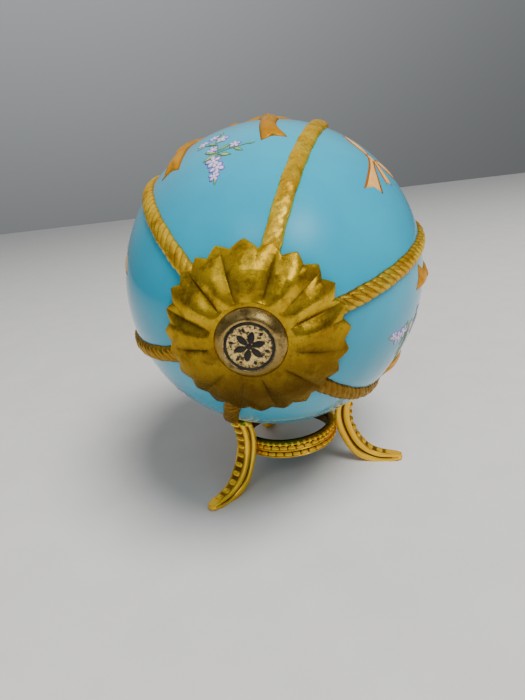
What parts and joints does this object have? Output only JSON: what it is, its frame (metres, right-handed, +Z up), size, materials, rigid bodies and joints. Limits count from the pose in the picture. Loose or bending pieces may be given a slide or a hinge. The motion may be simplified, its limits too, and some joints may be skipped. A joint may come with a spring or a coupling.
{
  "type": "porcelain trinket box",
  "caption": "Egg-shaped porcelain trinket box with gilt rope ribs, rosette and bows, a hinged lid and clasp, lying in a footed gilt stand.",
  "frame": {"origin": "on the table plane under the middle of the object's plan outline", "axes": "+Z up, +Y from the egg's base pole (facing the viewer) to its lid, +X to the viewer's right"},
  "size_m": [0.0776, 0.1108, 0.0921],
  "materials": {
    "gold_cast": "polished yellow gold plate",
    "blue_porcelain": "glossy turquoise-blue glaze",
    "relief_gilt": "aged matt gilding",
    "rosette_gilt": "aged olive gilding",
    "pale_brass": "satin, speckled",
    "dark_print": "worn dark print",
    "band_gilt": "polished gilt brass"
  },
  "bodies": {
    "stand": {"stand_ring": "gold_cast", "leg_left_front": "gold_cast", "leg_right": "gold_cast", "leg_rear": "gold_cast"},
    "egg_base": {"base_shell": "blue_porcelain", "base_ropes": "relief_gilt", "base_rosette": "rosette_gilt", "base_bows": "relief_gilt", "medallion": "pale_brass", "medallion_motif": "dark_print", "base_band": "band_gilt", "base_hinge_leaf": "band_gilt", "hinge_pin": "band_gilt", "catch_stud": "band_gilt"},
    "lid": {"lid_shell": "blue_porcelain", "lid_ropes": "relief_gilt", "lid_rosette": "rosette_gilt", "lid_finial": "rosette_gilt", "lid_band": "band_gilt", "lid_hinge_leaf": "band_gilt", "clasp_bracket": "band_gilt", "clasp_pin": "band_gilt"},
    "clasp": {"clasp_tongue": "band_gilt"}
  },
  "joints": [
    {"name": "egg_lift", "type": "slide", "parent": "stand", "child": "egg_base", "axis": [0, 0, 1], "range_m": [0, 0.06]},
    {"name": "lid_hinge", "type": "hinge", "parent": "egg_base", "child": "lid", "pos_m": [-0.03468, 0.01448, 0.06722], "axis": [0.3256, -0.0758, 0.9425], "range_deg": [0, 105]},
    {"name": "clasp_flip", "type": "hinge", "parent": "lid", "child": "clasp", "pos_m": [0.03557, 0.01761, 0.04321], "axis": [0.3256, -0.0758, 0.9425], "range_deg": [0, 75]}
  ]
}
